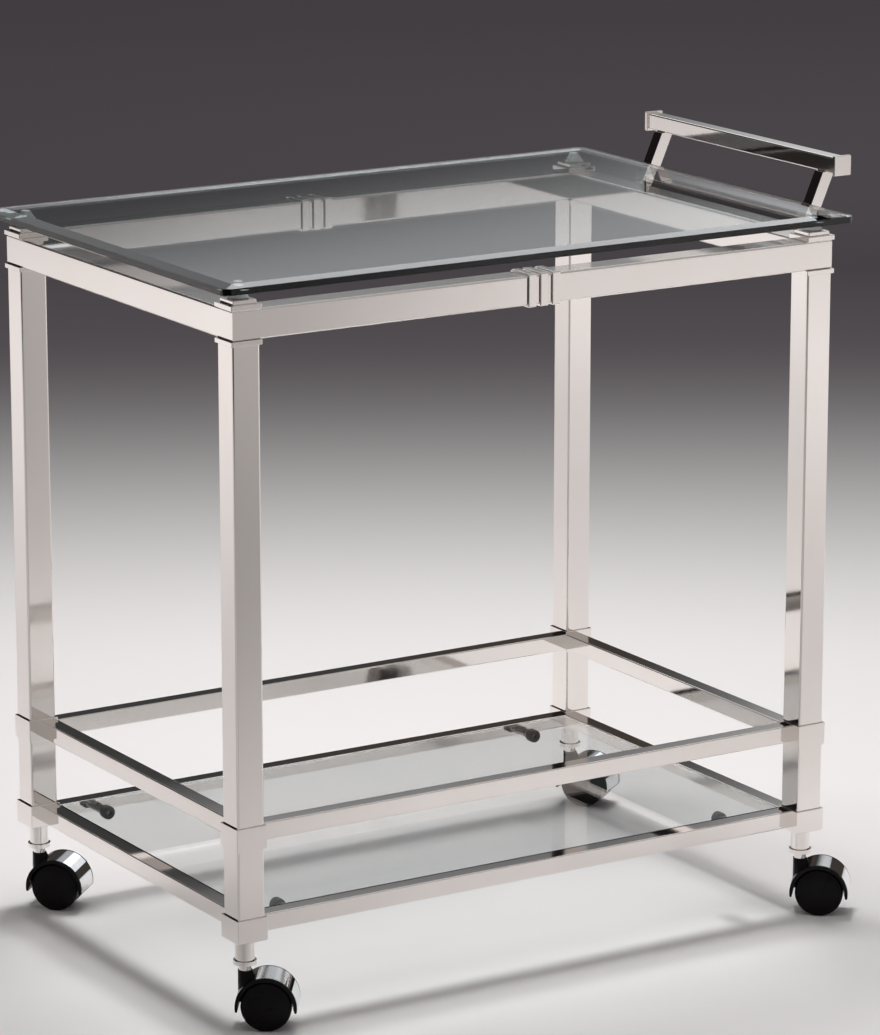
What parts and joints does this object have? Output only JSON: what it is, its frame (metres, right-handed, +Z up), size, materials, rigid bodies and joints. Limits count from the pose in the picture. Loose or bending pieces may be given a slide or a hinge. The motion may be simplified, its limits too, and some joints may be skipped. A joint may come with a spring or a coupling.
{
  "type": "serving trolley",
  "caption": "Square-tube serving trolley with a bevelled glass top on bumpers, a railed glass shelf, a push handle and hooded twin-wheel swivel casters.",
  "frame": {"origin": "on the floor, under the middle of the whole outline, handle and casters included", "axes": "+Z up; +X towards the push handle, along the long side; -Y is the front long side"},
  "size_m": [0.7936, 0.5268, 0.8],
  "materials": {
    "polished_nickel": "polished warm nickel plate",
    "glass": "clear, faint green edge",
    "clear_bumper": "cloudy clear polymer",
    "pin_steel": "bright turned steel",
    "pin_rubber": "matt black rubber",
    "caster_plastic": "black moulded nylon",
    "hood_chrome": "mirror chrome",
    "wheel_plastic": "black moulded wheel"
  },
  "bodies": {
    "frame": {"leg_front_left": "polished_nickel", "leg_front_right": "polished_nickel", "leg_rear_left": "polished_nickel", "leg_rear_right": "polished_nickel", "lower_sleeve_front_left": "polished_nickel", "lower_sleeve_front_right": "polished_nickel", "lower_sleeve_rear_left": "polished_nickel", "lower_sleeve_rear_right": "polished_nickel", "upper_sleeves": "polished_nickel", "leg_collars": "polished_nickel", "apron_front": "polished_nickel", "apron_rear": "polished_nickel", "apron_left": "polished_nickel", "apron_right": "polished_nickel", "apron_bands": "polished_nickel", "corner_caps": "polished_nickel", "corner_pads": "polished_nickel", "glass_bumpers": "clear_bumper", "top_glass": "glass", "lower_rail_front": "polished_nickel", "lower_rail_rear": "polished_nickel", "lower_rail_left": "polished_nickel", "lower_rail_right": "polished_nickel", "guard_rail_front": "polished_nickel", "guard_rail_rear": "polished_nickel", "guard_rail_left": "polished_nickel", "guard_rail_right": "polished_nickel", "shelf_pins": "pin_steel", "shelf_pin_heads": "pin_rubber", "shelf_glass": "glass", "handle_bar": "polished_nickel", "handle_end_plates": "polished_nickel", "handle_post_front": "polished_nickel", "handle_post_rear": "polished_nickel", "caster_ferrules": "polished_nickel", "caster_cups": "polished_nickel"},
    "caster_front_left": {"caster_body_front_left": "caster_plastic", "caster_hood_front_left": "hood_chrome", "caster_stem_front_left": "pin_steel", "caster_axle_front_left": "pin_steel"},
    "left_wheel_front_left": {"wheel_left_front_left": "wheel_plastic"},
    "right_wheel_front_left": {"wheel_right_front_left": "wheel_plastic"},
    "caster_front_right": {"caster_body_front_right": "caster_plastic", "caster_hood_front_right": "hood_chrome", "caster_stem_front_right": "pin_steel", "caster_axle_front_right": "pin_steel"},
    "left_wheel_front_right": {"wheel_left_front_right": "wheel_plastic"},
    "right_wheel_front_right": {"wheel_right_front_right": "wheel_plastic"},
    "caster_rear_left": {"caster_body_rear_left": "caster_plastic", "caster_hood_rear_left": "hood_chrome", "caster_stem_rear_left": "pin_steel", "caster_axle_rear_left": "pin_steel"},
    "left_wheel_rear_left": {"wheel_left_rear_left": "wheel_plastic"},
    "right_wheel_rear_left": {"wheel_right_rear_left": "wheel_plastic"},
    "caster_rear_right": {"caster_body_rear_right": "caster_plastic", "caster_hood_rear_right": "hood_chrome", "caster_stem_rear_right": "pin_steel", "caster_axle_rear_right": "pin_steel"},
    "left_wheel_rear_right": {"wheel_left_rear_right": "wheel_plastic"},
    "right_wheel_rear_right": {"wheel_right_rear_right": "wheel_plastic"}
  },
  "joints": [
    {"name": "swivel_front_left", "type": "hinge", "parent": "frame", "child": "caster_front_left", "pos_m": [-0.36475, -0.21306, 0.059], "axis": [0, 0, 1], "continuous": true},
    {"name": "roll_left_front_left", "type": "hinge", "parent": "caster_front_left", "child": "left_wheel_front_left", "pos_m": [-0.34673, -0.22568, 0.0255], "axis": [0.5736, 0.8192, 0], "continuous": true},
    {"name": "roll_right_front_left", "type": "hinge", "parent": "caster_front_left", "child": "right_wheel_front_left", "pos_m": [-0.34673, -0.22568, 0.0255], "axis": [0.5736, 0.8192, 0], "continuous": true},
    {"name": "swivel_front_right", "type": "hinge", "parent": "frame", "child": "caster_front_right", "pos_m": [0.31325, -0.21306, 0.059], "axis": [0, 0, 1], "continuous": true},
    {"name": "roll_left_front_right", "type": "hinge", "parent": "caster_front_right", "child": "left_wheel_front_right", "pos_m": [0.32985, -0.2275, 0.0255], "axis": [0.6561, 0.7547, 0], "continuous": true},
    {"name": "roll_right_front_right", "type": "hinge", "parent": "caster_front_right", "child": "right_wheel_front_right", "pos_m": [0.32985, -0.2275, 0.0255], "axis": [0.6561, 0.7547, 0], "continuous": true},
    {"name": "swivel_rear_left", "type": "hinge", "parent": "frame", "child": "caster_rear_left", "pos_m": [-0.36475, 0.23144, 0.059], "axis": [0, 0, 1], "continuous": true},
    {"name": "roll_left_rear_left", "type": "hinge", "parent": "caster_rear_left", "child": "left_wheel_rear_left", "pos_m": [-0.34947, 0.21561, 0.0255], "axis": [0.7193, 0.6947, 0], "continuous": true},
    {"name": "roll_right_rear_left", "type": "hinge", "parent": "caster_rear_left", "child": "right_wheel_rear_left", "pos_m": [-0.34947, 0.21561, 0.0255], "axis": [0.7193, 0.6947, 0], "continuous": true},
    {"name": "swivel_rear_right", "type": "hinge", "parent": "frame", "child": "caster_rear_right", "pos_m": [0.31325, 0.23144, 0.059], "axis": [0, 0, 1], "continuous": true},
    {"name": "roll_left_rear_right", "type": "hinge", "parent": "caster_rear_right", "child": "left_wheel_rear_right", "pos_m": [0.32587, 0.21341, 0.0255], "axis": [0.8192, 0.5736, 0], "continuous": true},
    {"name": "roll_right_rear_right", "type": "hinge", "parent": "caster_rear_right", "child": "right_wheel_rear_right", "pos_m": [0.32587, 0.21341, 0.0255], "axis": [0.8192, 0.5736, 0], "continuous": true}
  ]
}
